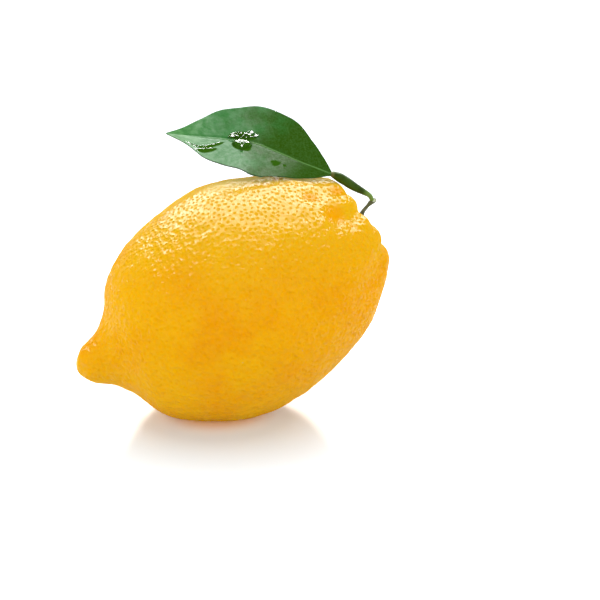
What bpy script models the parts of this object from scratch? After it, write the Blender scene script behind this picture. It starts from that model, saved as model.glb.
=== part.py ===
"""A whole lemon lying on its side, picked with a short twig and one leaf.

Sizes are in millimetres, and MM turns them into Blender's metres. The lemon
stands on the plane z = 0 with its origin in the middle of the small flat spot
that it rests on. +X runs from the nipple towards the stem end, and +Z is up.

The fruit, its calyx and the twig are shaped in the fruit's own frame: along
its axis from the nipple, sideways, and up. An empty tips that frame back, as
the lemon lies. The leaf is shaped in the standing frame.
"""

import math

import bmesh
import bpy
import numpy as np
from mathutils import Matrix, Vector

MM = 0.001
SHARP_ANGLE_DEG = 40.0
WELD_DISTANCE = 0.00001
CURVE_SAMPLES = 400

# How the lemon lies
TILT_DEG = 22.0
FRAME_X = -36.8
FRAME_Z = 16.3

# The fruit's outline: distance along the axis, radius, and height of the section's centre
FRUIT_PROFILE = (
    (-1.0, 0.0, -1.6),
    (1.6, 4.6, -1.6),
    (5.6, 6.5, -1.9),
    (9.0, 9.3, -2.9),
    (12.0, 13.6, -4.2),
    (14.8, 18.6, -4.1),
    (19.5, 22.7, -3.4),
    (27.0, 26.8, -3.3),
    (38.0, 30.0, -3.2),
    (49.0, 30.6, -2.3),
    (60.0, 27.9, -2.3),
    (70.0, 23.5, -1.0),
    (77.0, 18.4, 0.4),
    (82.8, 13.4, 2.1),
    (83.2, 8.6, 2.3),
    (81.6, 4.6, 2.6),
    (81.0, 0.0, 2.6),
)
FRUIT_SIDES = 80
FRUIT_RINGS = 54
RIM_WELD = 0.0001

# The stem end faces a little up and away: its lower and near edges stand further out
SLANT_FROM = 56.0
SLANT_TO = 80.0
SLANT_UP = -0.14
SLANT_NEAR = 0.13

# Furrows that run back from the stem end: angle from the top, depth, half width in degrees, start
STEM_FURROWS = (
    (25.0, 0.7, 11.0, 64.0),
    (57.0, 1.3, 13.0, 70.0),
    (77.0, 1.2, 11.0, 76.0),
    (108.0, 1.1, 13.0, 66.0),
    (143.0, 1.2, 14.0, 69.0),
    (180.0, 0.9, 13.0, 66.0),
    (216.0, 1.2, 14.0, 70.0),
    (255.0, 1.0, 13.0, 66.0),
    (297.0, 1.2, 14.0, 68.0),
    (338.0, 0.8, 12.0, 72.0),
)
FURROW_RUN = 10.0
PIT_RADIUS = 4.0
RIM_RADIUS = 11.0

# Slow unevenness of the rind: its height, and the times round and length of each wave
WAVE_HEIGHT = 0.1
RIND_WAVES = ((3.0, 9.0), (5.0, -7.0))

# The fuller belly underneath
BELLY_HEIGHT = 0.5
BELLY_ALONG = 50.0
BELLY_REACH = 10.0
BELLY_ANGLE_DEG = 20.0

# The calyx in the pit
CALYX_RADIUS = 4.1
CALYX_THICKNESS = 1.6
CALYX_LOBES = 5
CALYX_LOBE_DEPTH = 0.13
CALYX_SIDES = 40
CALYX_RINGS = 14
PIT_CURVE = 0.03
CLEARANCE = 0.3

# The twig, in the fruit's frame: along, side, up, radius
TWIG_ROUTE = (
    (83.25, 0.29, 2.9, 1.15),
    (83.9, 0.37, 3.05, 0.85),
    (84.6, 0.4, 3.75, 0.62),
    (85.6, 0.35, 4.4, 0.55),
    (87.0, 0.05, 5.15, 0.52),
    (88.8, -0.45, 6.0, 0.52),
)
TWIG_SIDES = 14
TWIG_RINGS = 18
CUT_BACK = 0.7
CUT_NORMAL = (0.62, 0.0, 0.78)

# The leaf stalk, in the standing frame: x, y, z, radius
STALK_ROUTE = (
    (42.3, -0.25, 55.2, 0.5),
    (42.3, -0.2, 55.7, 0.56),
    (41.8, 0.0, 56.3, 0.6),
    (40.9, 0.1, 56.9, 0.66),
    (38.4, -0.1, 58.5, 0.84),
    (36.6, -0.5, 59.8, 0.92),
    (34.8, -1.1, 61.2, 0.94),
    (32.9, -1.6, 62.5, 0.84),
    (31.6, -2.0, 63.3, 0.62),
)
STALK_SIDES = 14
STALK_RINGS = 30

# The blade's midrib from its base to its tip, in the standing frame
MIDRIB = (
    (30.8, -2.3, 63.4),
    (27.4, 1.2, 64.4),
    (24.2, 3.9, 65.4),
    (18.5, 7.4, 67.7),
    (13.6, 9.6, 69.6),
    (6.5, 11.4, 70.7),
    (-0.7, 12.3, 71.7),
    (-9.6, 12.7, 73.2),
)

# Half widths of the blade: share of its length, far half, near half
BLADE_WIDTHS = (
    (0.0, 0.6, 0.6),
    (0.05, 2.2, 3.2),
    (0.12, 4.5, 5.4),
    (0.2, 7.3, 7.7),
    (0.3, 10.6, 11.0),
    (0.4, 12.1, 13.1),
    (0.5, 12.3, 13.1),
    (0.6, 10.6, 11.8),
    (0.7, 8.8, 10.4),
    (0.8, 5.9, 8.4),
    (0.9, 2.5, 3.5),
    (1.0, 0.45, 0.45),
)
BLADE_SLOPE_DEG = 29.0
BLADE_HEADING_DEG = 15.0
BLADE_FOLD_DEG = 7.5
BLADE_THICKNESS = 0.62
BLADE_WAVE = 0.35
BLADE_WAVES = 3.5
NEAR_WAVE_SHIFT = 1.9
BLADE_ROWS = 44
BLADE_COLUMNS = 14


def clear_scene():
    """Remove every object that the file starts with."""
    for item in list(bpy.data.objects):
        bpy.data.objects.remove(item, do_unlink=True)


def ease(value, start, end):
    """Rise smoothly from 0 at start to 1 at end."""
    share = np.clip((np.asarray(value, dtype=float) - start) / (end - start), 0.0, 1.0)
    return share * share * (3.0 - 2.0 * share)


def turn_from(angle, centre):
    """Give the signed turn in degrees from one direction to another."""
    return (np.asarray(angle, dtype=float) - centre + 180.0) % 360.0 - 180.0


def blend(low, high, low_knot, high_knot, knot):
    """Mix two points by how far a knot lies between their own knots."""
    share = (knot - low_knot) / (high_knot - low_knot)
    return low + (high - low) * share


def smooth_curve(points, count, spaced_by, before=None, after=None):
    """Run a centripetal Catmull-Rom curve through the points.

    spaced_by is the number of leading columns that measure the distance
    between points. before and after are the points past the two ends.
    """
    inner = np.asarray(points, dtype=float)
    start = 2.0 * inner[0] - inner[1] if before is None else np.asarray(before, dtype=float)
    end = 2.0 * inner[-1] - inner[-2] if after is None else np.asarray(after, dtype=float)
    path = np.vstack([start, inner, end])
    gaps = np.linalg.norm(np.diff(path[:, :spaced_by], axis=0), axis=1)
    knots = np.concatenate([[0.0], np.cumsum(np.sqrt(gaps))])
    samples = []
    for knot in np.linspace(knots[1], knots[-2], count):
        i = int(np.clip(np.searchsorted(knots, knot, side="right") - 1, 1, len(inner) - 1))
        a1 = blend(path[i - 1], path[i], knots[i - 1], knots[i], knot)
        a2 = blend(path[i], path[i + 1], knots[i], knots[i + 1], knot)
        a3 = blend(path[i + 1], path[i + 2], knots[i + 1], knots[i + 2], knot)
        b1 = blend(a1, a2, knots[i - 1], knots[i + 1], knot)
        b2 = blend(a2, a3, knots[i], knots[i + 2], knot)
        samples.append(blend(b1, b2, knots[i], knots[i + 1], knot))
    return np.array(samples)


def even_steps(curve, count):
    """Pick points at even distances along a finely sampled curve."""
    runs = np.concatenate([[0.0], np.cumsum(np.linalg.norm(np.diff(curve, axis=0), axis=1))])
    marks = np.linspace(0.0, runs[-1], count)
    return np.stack([np.interp(marks, runs, column) for column in curve.T], axis=1)


def make_material(name, colour, roughness, metallic=0.0):
    """Make one plain Principled material."""
    material = bpy.data.materials.new(name)
    material.use_nodes = True
    shader = material.node_tree.nodes["Principled BSDF"]
    shader.inputs["Base Color"].default_value = (*colour, 1.0)
    shader.inputs["Roughness"].default_value = roughness
    shader.inputs["Metallic"].default_value = metallic
    material.diffuse_color = (*colour, 1.0)
    return material


def finish_object(bm, name, material, collection, parent=None):
    """Turn a bmesh into a smooth shaded object of the collection."""
    bmesh.ops.recalc_face_normals(bm, faces=bm.faces[:])
    mesh = bpy.data.meshes.new(name)
    bm.to_mesh(mesh)
    bm.free()
    mesh.materials.append(material)
    mesh.shade_smooth()
    mesh.set_sharp_from_angle(angle=math.radians(SHARP_ANGLE_DEG))
    piece = bpy.data.objects.new(name, mesh)
    piece.parent = parent
    collection.objects.link(piece)
    return piece


def furrow_depth(along, angle_deg):
    """Give how deep the stem end's furrows are at a place on the rind."""
    depth = 0.0
    for centre, deepest, half_width, start in STEM_FURROWS:
        across = np.clip(1.0 - (turn_from(angle_deg, centre) / half_width) ** 2, 0.0, 1.0) ** 1.5
        depth += deepest * across * ease(along, start, start + FURROW_RUN)
    return depth


def rind_rise(along, radius, angle_deg):
    """Give how far the rind stands out from the turned outline."""
    rise = -furrow_depth(along, angle_deg)
    angle = math.radians(angle_deg)
    for turns, length in RIND_WAVES:
        rise += WAVE_HEIGHT * math.sin(turns * angle + along / length)
    rise *= ease(radius, PIT_RADIUS, RIM_RADIUS)
    below = math.exp(-(turn_from(angle_deg, 180.0) / BELLY_ANGLE_DEG) ** 2)
    middle = math.exp(-((along - BELLY_ALONG) / BELLY_REACH) ** 2)
    return rise + BELLY_HEIGHT * below * middle


def build_fruit(collection, frame, material):
    """Shape a sphere into the lemon and cut its flat spot."""
    first = FRUIT_PROFILE[1]
    last = FRUIT_PROFILE[-2]
    rings = smooth_curve(
        FRUIT_PROFILE,
        FRUIT_RINGS + 1,
        spaced_by=2,
        before=(first[0], -first[1], first[2]),
        after=(last[0], -last[1], last[2]),
    )
    slopes = np.gradient(rings[:, :2], axis=0)
    slopes /= np.linalg.norm(slopes, axis=1)[:, None]

    bm = bmesh.new()
    bmesh.ops.create_uvsphere(bm, u_segments=FRUIT_SIDES, v_segments=FRUIT_RINGS, radius=1.0)
    for vert in bm.verts:
        x, y, z = vert.co
        ring = round(math.acos(max(-1.0, min(1.0, -z))) / math.pi * FRUIT_RINGS)
        along, radius, centre = rings[ring]
        along_slope, radius_slope = slopes[ring]
        angle = math.atan2(y, x)
        rise = float(rind_rise(along, radius, math.degrees(angle)))
        radius += rise * along_slope
        up = radius * math.cos(angle)
        near = radius * math.sin(angle)
        slant = float(ease(along, SLANT_FROM, SLANT_TO)) * (SLANT_UP * up + SLANT_NEAR * near)
        along += slant - rise * radius_slope
        vert.co = Vector((along, -near, up + centre)) * MM

    cut_flat_spot(bm, frame)
    return finish_object(bm, "fruit", material, collection, frame)


def cut_flat_spot(bm, frame):
    """Slice off what reaches below the floor and close the cut with one face."""
    to_fruit = frame.matrix_world.inverted()
    floor_point = to_fruit @ Vector((0.0, 0.0, 0.0))
    upward = to_fruit.to_3x3() @ Vector((0.0, 0.0, 1.0))
    result = bmesh.ops.bisect_plane(
        bm,
        geom=bm.verts[:] + bm.edges[:] + bm.faces[:],
        dist=WELD_DISTANCE,
        plane_co=floor_point,
        plane_no=upward,
        clear_inner=True,
    )
    rim = [item for item in result["geom_cut"] if isinstance(item, bmesh.types.BMEdge)]
    rim_verts = list({vert for edge in rim for vert in edge.verts})
    bmesh.ops.remove_doubles(bm, verts=rim_verts, dist=RIM_WELD)
    open_edges = [edge for edge in bm.edges if edge.is_boundary]
    for vert in {vert for edge in open_edges for vert in edge.verts}:
        vert.co -= upward * (vert.co - floor_point).dot(upward)
    bmesh.ops.holes_fill(bm, edges=open_edges, sides=len(open_edges))


def pit_direction():
    """Give the direction that the stem end faces, in the fruit's frame."""
    return Vector((1.0, SLANT_NEAR, -SLANT_UP)).normalized()


def build_calyx(collection, frame, material):
    """Shape a flattened sphere into the five-lobed button in the pit."""
    bm = bmesh.new()
    bmesh.ops.create_uvsphere(bm, u_segments=CALYX_SIDES, v_segments=CALYX_RINGS, radius=1.0)
    half_thickness = CALYX_THICKNESS / 2.0
    for vert in bm.verts:
        x, y, z = vert.co
        share = min(1.0, math.hypot(x, y))
        angle = math.atan2(y, x)
        lobes = 1.0 + CALYX_LOBE_DEPTH * math.cos(CALYX_LOBES * angle) * share ** 3
        radius = CALYX_RADIUS * share * lobes
        height = CLEARANCE + PIT_CURVE * radius ** 2 + half_thickness * (1.0 + z)
        vert.co = Vector((radius * math.cos(angle), radius * math.sin(angle), height)) * MM
    centre = Vector((FRUIT_PROFILE[-1][0], 0.0, FRUIT_PROFILE[-1][2])) * MM
    turn = pit_direction().to_track_quat("Z", "Y").to_matrix().to_4x4()
    bmesh.ops.transform(bm, matrix=Matrix.Translation(centre) @ turn, verts=bm.verts[:])
    return finish_object(bm, "calyx", material, collection, frame)


def build_tube(name, route, sides, rings, collection, material, parent=None):
    """Sweep a round tube of changing radius along a route and close its ends."""
    points = smooth_curve(route, rings, spaced_by=3)
    curve = bpy.data.curves.new(name + "_path", "CURVE")
    curve.dimensions = "3D"
    curve.bevel_depth = MM
    curve.bevel_resolution = sides // 2 - 2
    curve.use_fill_caps = True
    spline = curve.splines.new("POLY")
    spline.points.add(len(points) - 1)
    for target, (x, y, z, radius) in zip(spline.points, points):
        target.co = (x * MM, y * MM, z * MM, 1.0)
        target.radius = radius
    path = bpy.data.objects.new(name + "_path", curve)
    collection.objects.link(path)
    depsgraph = bpy.context.evaluated_depsgraph_get()
    swept = bpy.data.meshes.new_from_object(path.evaluated_get(depsgraph))
    bpy.data.objects.remove(path, do_unlink=True)
    bm = bmesh.new()
    bm.from_mesh(swept)
    bpy.data.meshes.remove(swept)
    bmesh.ops.remove_doubles(bm, verts=bm.verts[:], dist=WELD_DISTANCE)
    return finish_object(bm, name, material, collection, parent)


def cut_twig_end(twig):
    """Slice the twig's far end on a slant, as shears leave it."""
    along, side, up, _ = TWIG_ROUTE[-1]
    bm = bmesh.new()
    bm.from_mesh(twig.data)
    bmesh.ops.bisect_plane(
        bm,
        geom=bm.verts[:] + bm.edges[:] + bm.faces[:],
        dist=WELD_DISTANCE,
        plane_co=Vector((along - CUT_BACK, side, up)) * MM,
        plane_no=Vector(CUT_NORMAL).normalized(),
        clear_outer=True,
    )
    open_edges = [edge for edge in bm.edges if edge.is_boundary]
    bmesh.ops.holes_fill(bm, edges=open_edges, sides=len(open_edges))
    bmesh.ops.recalc_face_normals(bm, faces=bm.faces[:])
    bm.to_mesh(twig.data)
    bm.free()


def blade_frame(midrib):
    """Give the blade's sideways and upward directions along its midrib."""
    heading = math.radians(BLADE_HEADING_DEG)
    slope = math.radians(BLADE_SLOPE_DEG)
    level = np.array([math.sin(heading), math.cos(heading), 0.0])
    rough = math.cos(slope) * level + math.sin(slope) * np.array([0.0, 0.0, 1.0])
    run = np.gradient(midrib, axis=0)
    run /= np.linalg.norm(run, axis=1)[:, None]
    sideways = rough - (run @ rough)[:, None] * run
    sideways /= np.linalg.norm(sideways, axis=1)[:, None]
    upward = np.cross(sideways, run)
    upward *= np.sign(upward[:, 2])[:, None]
    return sideways, upward


def build_leaf_blade(collection, material):
    """Bend a grid into the folded, wavy blade and give it its thickness."""
    midrib = even_steps(smooth_curve(MIDRIB, CURVE_SAMPLES, spaced_by=3), BLADE_ROWS + 1)
    sideways, upward = blade_frame(midrib)
    widths = np.array(BLADE_WIDTHS)
    fold = math.radians(BLADE_FOLD_DEG)

    bm = bmesh.new()
    bmesh.ops.create_grid(bm, x_segments=BLADE_ROWS, y_segments=BLADE_COLUMNS, size=1.0)
    for vert in bm.verts:
        row = round((vert.co.x + 1.0) / 2.0 * BLADE_ROWS)
        share = row / BLADE_ROWS
        across = vert.co.y
        column = 1 if across > 0.0 else 2
        reach = abs(across) * np.interp(share, widths[:, 0], widths[:, column])
        side = math.copysign(reach * math.cos(fold), across)
        shift = 0.0 if across > 0.0 else NEAR_WAVE_SHIFT
        wave = BLADE_WAVE * across ** 2 * math.sin(math.pi * share)
        wave *= math.sin(2.0 * math.pi * BLADE_WAVES * share + shift)
        lift = reach * math.sin(fold) + wave
        place = midrib[row] + side * sideways[row] + lift * upward[row]
        vert.co = Vector(place) * MM
    bmesh.ops.triangulate(bm, faces=bm.faces[:], quad_method="SHORT_EDGE")
    bmesh.ops.recalc_face_normals(bm, faces=bm.faces[:])
    if sum(face.normal.z for face in bm.faces) < 0.0:
        bmesh.ops.reverse_faces(bm, faces=bm.faces[:])

    mesh = bpy.data.meshes.new("leaf_blade")
    bm.to_mesh(mesh)
    bm.free()
    mesh.materials.append(material)
    mesh.shade_smooth()
    blade = bpy.data.objects.new("leaf_blade", mesh)
    collection.objects.link(blade)
    thicken = blade.modifiers.new("thickness", "SOLIDIFY")
    thicken.thickness = BLADE_THICKNESS * MM
    thicken.offset = 1.0
    return blade


def build():
    """Build the lemon, its calyx, its twig and its leaf."""
    clear_scene()
    parts = bpy.data.collections.new("lemon_with_leaf")
    bpy.context.scene.collection.children.link(parts)

    rind = make_material("rind", (0.86, 0.53, 0.03), 0.42)
    button = make_material("calyx_green", (0.22, 0.27, 0.08), 0.7)
    bark = make_material("twig_bark", (0.10, 0.14, 0.07), 0.6)
    stalk = make_material("stalk_green", (0.05, 0.14, 0.02), 0.45)
    leaf = make_material("leaf_green", (0.04, 0.17, 0.04), 0.32)

    frame = bpy.data.objects.new("fruit_frame", None)
    frame.location = (FRAME_X * MM, 0.0, FRAME_Z * MM)
    frame.rotation_euler = (0.0, math.radians(-TILT_DEG), 0.0)
    parts.objects.link(frame)
    bpy.context.view_layer.update()

    build_fruit(parts, frame, rind)
    build_calyx(parts, frame, button)
    twig = build_tube("stem", TWIG_ROUTE, TWIG_SIDES, TWIG_RINGS, parts, bark, frame)
    cut_twig_end(twig)
    build_tube("petiole", STALK_ROUTE, STALK_SIDES, STALK_RINGS, parts, stalk)
    build_leaf_blade(parts, leaf)


build()
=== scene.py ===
"""The looks of a whole lemon that lies on its side, with its twig and one wet leaf.

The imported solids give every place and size. Finer meshes stand for the plain
solids of the rind, the calyx, the twig, the leaf stalk and the blade, and water
lies on the blade. Lengths are written in millimetres, and MM turns them into
metres. The lemon stands on z = 0, and +X runs from its nipple to its stem end.
"""

import logging
import math
from collections.abc import Iterator, Sequence
from contextlib import contextmanager
from dataclasses import dataclass, field
from enum import Enum

import bpy
import numpy as np
from mathutils import Matrix, Vector
from mathutils.kdtree import KDTree


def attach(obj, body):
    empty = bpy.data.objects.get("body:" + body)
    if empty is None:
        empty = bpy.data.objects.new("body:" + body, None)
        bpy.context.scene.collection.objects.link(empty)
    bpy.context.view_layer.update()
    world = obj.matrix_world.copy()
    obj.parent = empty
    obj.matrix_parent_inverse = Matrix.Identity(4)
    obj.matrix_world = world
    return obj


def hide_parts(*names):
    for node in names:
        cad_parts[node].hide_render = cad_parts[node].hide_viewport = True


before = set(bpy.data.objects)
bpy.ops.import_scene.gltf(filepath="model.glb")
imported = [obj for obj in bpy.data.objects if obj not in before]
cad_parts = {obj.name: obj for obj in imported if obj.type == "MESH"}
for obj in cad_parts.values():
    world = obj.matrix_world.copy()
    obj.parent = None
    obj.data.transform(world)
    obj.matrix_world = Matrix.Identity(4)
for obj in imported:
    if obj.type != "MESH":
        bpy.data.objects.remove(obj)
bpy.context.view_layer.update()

MM = 0.001
ROUTE_SAMPLES = 400
SECTION_STEPS = 8
SWEEP_WELD = 0.002 * MM
LOG = logging.getLogger("lemon")

Colour = tuple[float, float, float]
Point = tuple[float, float, float]
Knot = tuple[float, float, float, float]
Array = np.ndarray
Material = bpy.types.Material
Piece = bpy.types.Object
Socket = bpy.types.NodeSocket
Value = Socket | float | Colour

# Where something starts and ends, or the values that it runs between
Span = tuple[float, float]
# A colour, and the share of it that shows where its mask is full
Tint = tuple[Colour, float]
# The size of a pattern's features, in metres, and how detailed it is
Grain = tuple[float, float]

X, Y, Z = range(3)
WHITE = (1.0, 1.0, 1.0)
MOTTLE = "mottle"
MOTTLE_LEVELS = (0.3, 0.7)
SPECK = "speck"

# How the lemon lies: the fruit's own frame stands at this place, tipped back by this much
FRUIT_PLACE = (-36.8, 0.0, 16.3)
TILT_DEG = 22.0
FRUIT_FRAME = Matrix.Translation(Vector(FRUIT_PLACE) * MM) @ Matrix.Rotation(
    math.radians(-TILT_DEG), 4, "Y"
)


class Slot(Enum):
    """The finishes that a scene can repaint."""

    RIND = "rind"
    CALYX = "calyx_green"
    BARK = "twig_bark"
    STALK = "stalk_green"
    LEAF = "leaf_green"


class Side(Enum):
    """The two halves of the blade, by their column in the table of widths."""

    FAR = 1
    NEAR = 2


def take_up(piece: Piece) -> None:
    """Make one piece the active one and the only one that is selected."""
    if bpy.context.mode != "OBJECT":
        bpy.ops.object.mode_set(mode="OBJECT")
    bpy.ops.object.select_all(action="DESELECT")
    piece.select_set(True)
    bpy.context.view_layer.objects.active = piece


@contextmanager
def editing(piece: Piece, select: str = "SELECT") -> Iterator[None]:
    """Hold a piece in edit mode, with all of it or none of it selected.

    Args:
        piece: The mesh to edit.
        select: SELECT for all of it, or DESELECT for none of it.
    """
    take_up(piece)
    bpy.ops.object.mode_set(mode="EDIT")
    bpy.ops.mesh.select_all(action=select)
    yield
    bpy.ops.object.mode_set(mode="OBJECT")


def apply_modifier(piece: Piece, kind: str, **settings: object) -> None:
    """Put a modifier on a piece and apply it at once.

    Args:
        piece: The mesh that it shapes.
        kind: Blender's name for the modifier.
        settings: The modifier's own settings.
    """
    take_up(piece)
    modifier = piece.modifiers.new(kind.lower(), kind)
    for name, value in settings.items():
        setattr(modifier, name, value)
    bpy.ops.object.modifier_apply(modifier=modifier.name)


def read_points(piece: Piece) -> Array:
    """Give a mesh's points as rows of three numbers."""
    flat = np.empty(len(piece.data.vertices) * 3, dtype=np.float32)
    piece.data.vertices.foreach_get("co", flat)
    return flat.reshape(-1, 3).astype(float)


def write_points(piece: Piece, points: Array) -> None:
    """Move a mesh's points to the given rows of three numbers."""
    piece.data.vertices.foreach_set("co", points.astype(np.float32).ravel())
    piece.data.update()


def write_marks(piece: Piece, name: str, marks: Array) -> None:
    """Store one number for each point of a mesh, for its material to read."""
    attribute = piece.data.attributes.new(name, "FLOAT", "POINT")
    attribute.data.foreach_set("value", marks.astype(np.float32).ravel())


def grow_tree(points: Array) -> KDTree:
    """Sort points into a tree that finds the nearest ones quickly."""
    tree = KDTree(len(points))
    for index, point in enumerate(points):
        tree.insert(point, index)
    tree.balance()
    return tree


def ease(value: Array, start: float, end: float) -> Array:
    """Rise smoothly from 0 at start to 1 at end."""
    share = np.clip((value - start) / (end - start), 0.0, 1.0)
    return share * share * (3.0 - 2.0 * share)


def hump(value: Array, width: float) -> Array:
    """Give a round hump of height 1 about zero, as wide as told."""
    return np.exp(-((value / width) ** 2))


def smooth_curve(points: Sequence[Sequence[float]], count: int, spaced_by: int) -> Array:
    """Run a centripetal Catmull-Rom curve through points.

    Args:
        points: Rows of numbers that the curve goes through.
        count: How many samples to give.
        spaced_by: How many leading columns measure the distance between points.

    Returns:
        The samples, one row each.
    """
    inner = np.asarray(points, dtype=float)
    path = np.vstack([2.0 * inner[0] - inner[1], inner, 2.0 * inner[-1] - inner[-2]])
    gaps = np.linalg.norm(np.diff(path[:, :spaced_by], axis=0), axis=1)
    knots = np.concatenate([[0.0], np.cumsum(np.sqrt(gaps))])
    samples = []
    for knot in np.linspace(knots[1], knots[-2], count):
        i = int(np.clip(np.searchsorted(knots, knot, side="right") - 1, 1, len(inner) - 1))
        rows = path[i - 1 : i + 3]
        near = knots[i - 1 : i + 3]
        # Mix neighbours three times, until the four nearest points are down to one
        for low, high in ((near[:3], near[1:]), (near[:2], near[2:]), (near[1:2], near[2:3])):
            share = (knot - low) / (high - low)
            rows = rows[:-1] + (rows[1:] - rows[:-1]) * share[:, None]
        samples.append(rows[0])
    return np.array(samples)


def even_steps(curve: Array, count: int) -> Array:
    """Pick points at even distances along a finely sampled curve."""
    steps = np.linalg.norm(np.diff(curve[:, :3], axis=0), axis=1)
    runs = np.concatenate([[0.0], np.cumsum(steps)])
    marks = np.linspace(0.0, runs[-1], count)
    return np.stack([np.interp(marks, runs, column) for column in curve.T], axis=1)


class Graph:
    """Adds nodes to one node tree and joins them up."""

    def __init__(self, tree: bpy.types.NodeTree) -> None:
        """Keep the tree that the nodes go into."""
        self.tree = tree

    def fill(self, node: bpy.types.Node, inputs: dict) -> None:
        """Link a node's sockets, by their name or number, or set their own values."""
        for name, value in inputs.items():
            socket = node.inputs[name]
            if isinstance(value, bpy.types.NodeSocket):
                self.tree.links.new(value, socket)
            elif socket.type == "RGBA":
                socket.default_value = (*value, 1.0)
            else:
                socket.default_value = value

    def add(self, kind: str, inputs: dict | None = None, **settings: object) -> bpy.types.Node:
        """Add a node.

        Args:
            kind: Blender's name for the node.
            inputs: What goes into its sockets, by their name or number.
            settings: The node's own settings.

        Returns:
            The new node.
        """
        node = self.tree.nodes.new(kind)
        for name, value in settings.items():
            setattr(node, name, value)
        self.fill(node, inputs or {})
        return node

    def shade(self, inputs: dict) -> None:
        """Fill the sockets of the material's own shader."""
        self.fill(self.tree.nodes["Principled BSDF"], inputs)

    def maths(self, operation: str, first: Value, second: Value = 0.0) -> Socket:
        """Join two numbers by an operation such as ADD or DIVIDE."""
        return self.add("ShaderNodeMath", {0: first, 1: second}, operation=operation).outputs[0]

    def times(self, first: Value, *others: Value) -> Value:
        """Multiply numbers."""
        for other in others:
            first = self.maths("MULTIPLY", first, other)
        return first

    def measure(self, operation: str, first: Value, second: Value = (0.0, 0.0, 0.0)) -> Socket:
        """Get a number out of vectors by an operation such as DISTANCE or LENGTH."""
        inputs = {0: first, 1: second}
        return self.add("ShaderNodeVectorMath", inputs, operation=operation).outputs["Value"]

    def ease(self, value: Value, start: float, end: float) -> Socket:
        """Rise smoothly from 0 at start to 1 at end, which may be the lower one."""
        inputs = {"Value": value, "From Min": min(start, end), "From Max": max(start, end)}
        inputs |= {"To Min": float(start > end), "To Max": float(start < end)}
        return self.add("ShaderNodeMapRange", inputs, interpolation_type="SMOOTHSTEP").outputs[0]

    def span(self, value: Value, low: float, high: float) -> Socket:
        """Turn 0 to 1 into low to high."""
        inputs = {"Value": value, "To Min": low, "To Max": high}
        return self.add("ShaderNodeMapRange", inputs).outputs[0]

    def mix(self, share: Value, first: Value, second: Value) -> Socket:
        """Mix two colours by a share."""
        inputs = {0: share, 6: first, 7: second}
        return self.add("ShaderNodeMix", inputs, data_type="RGBA").outputs[2]

    def tint(self, colour: Value, *layers: tuple[Value, Tint]) -> Value:
        """Lay tints over a colour in turn, each where its mask is full."""
        for mask, (tint, share) in layers:
            colour = self.mix(self.times(mask, share), colour, tint)
        return colour

    def noise(self, place: Value, size: float, detail: float) -> Socket:
        """Give plain noise whose features have a size in metres."""
        inputs = {"Vector": place, "Scale": 1.0 / size, "Detail": detail}
        return self.add("ShaderNodeTexNoise", inputs).outputs["Fac"]

    def group(self, name: str, *values: Value) -> Socket:
        """Place a shared group, with values for its inputs in their order."""
        tree = bpy.data.node_groups[name]
        return self.add("ShaderNodeGroup", dict(enumerate(values)), node_tree=tree).outputs[0]

    def bump(self, height: Value, distance: float) -> Socket:
        """Turn heights into a normal, where a height of 1 stands for a distance in metres."""
        return self.add("ShaderNodeBump", {"Height": height, "Distance": distance}).outputs[0]

    def position(self) -> Socket:
        """Give the place on the piece, in metres."""
        return self.add("ShaderNodeTexCoord").outputs["Object"]

    def part(self, place: Value, axis: int) -> Socket:
        """Give one coordinate of a place."""
        return self.add("ShaderNodeSeparateXYZ", {0: place}).outputs[axis]

    def along(self, place: Value, axis: int, span: Span) -> Socket:
        """Rise smoothly from 0 to 1 along an axis, over a span in millimetres."""
        return self.ease(self.part(place, axis), span[0] * MM, span[1] * MM)

    def mark(self, name: str) -> Socket:
        """Give a number that the mesh stores for each point."""
        return self.add("ShaderNodeAttribute", attribute_name=name).outputs["Fac"]


def new_group(name: str, numbers: Sequence[str]) -> tuple[Graph, Sequence[Socket]]:
    """Start a shared shader group that reads a place and some numbers and gives one.

    Args:
        name: The group's name.
        numbers: The names of its number inputs.

    Returns:
        The graph to build in, and what goes into the group, by name.
    """
    tree = bpy.data.node_groups.new(name, "ShaderNodeTree")
    tree.interface.new_socket("Position", in_out="INPUT", socket_type="NodeSocketVector")
    for number in numbers:
        tree.interface.new_socket(number, in_out="INPUT", socket_type="NodeSocketFloat")
    tree.interface.new_socket("Value", in_out="OUTPUT", socket_type="NodeSocketFloat")
    graph = Graph(tree)
    return graph, graph.add("NodeGroupInput").outputs


def build_mottle_group() -> None:
    """Build the slow, soft unevenness that every grown surface shows."""
    graph, given = new_group(MOTTLE, ("Size", "Detail"))
    scale = graph.maths("DIVIDE", 1.0, given["Size"])
    inputs = {"Vector": given["Position"], "Scale": scale, "Detail": given["Detail"]}
    noise = graph.add("ShaderNodeTexNoise", inputs).outputs["Fac"]
    graph.add("NodeGroupOutput", {0: graph.ease(noise, *MOTTLE_LEVELS)})


def build_speck_group() -> None:
    """Build small scattered specks, of which only some cells hold one."""
    graph, given = new_group(SPECK, ("Spacing", "Radius", "Share"))
    scale = graph.maths("DIVIDE", 1.0, given["Spacing"])
    cells = graph.add("ShaderNodeTexVoronoi", {"Vector": given["Position"], "Scale": scale})
    reach = graph.maths("DIVIDE", given["Radius"], given["Spacing"])
    near = graph.maths("SUBTRACT", 1.0, graph.maths("DIVIDE", cells.outputs["Distance"], reach))
    chance = graph.add("ShaderNodeSeparateColor", {0: cells.outputs["Color"]}).outputs[0]
    kept = graph.maths("LESS_THAN", chance, given["Share"])
    graph.add("NodeGroupOutput", {0: graph.times(graph.ease(near, 0.0, 0.6), kept)})


def new_material(name: str) -> tuple[Material, Graph]:
    """Start a material and give it and its graph."""
    material = bpy.data.materials.new(name)
    material.use_nodes = True
    return material, Graph(material.node_tree)


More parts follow.
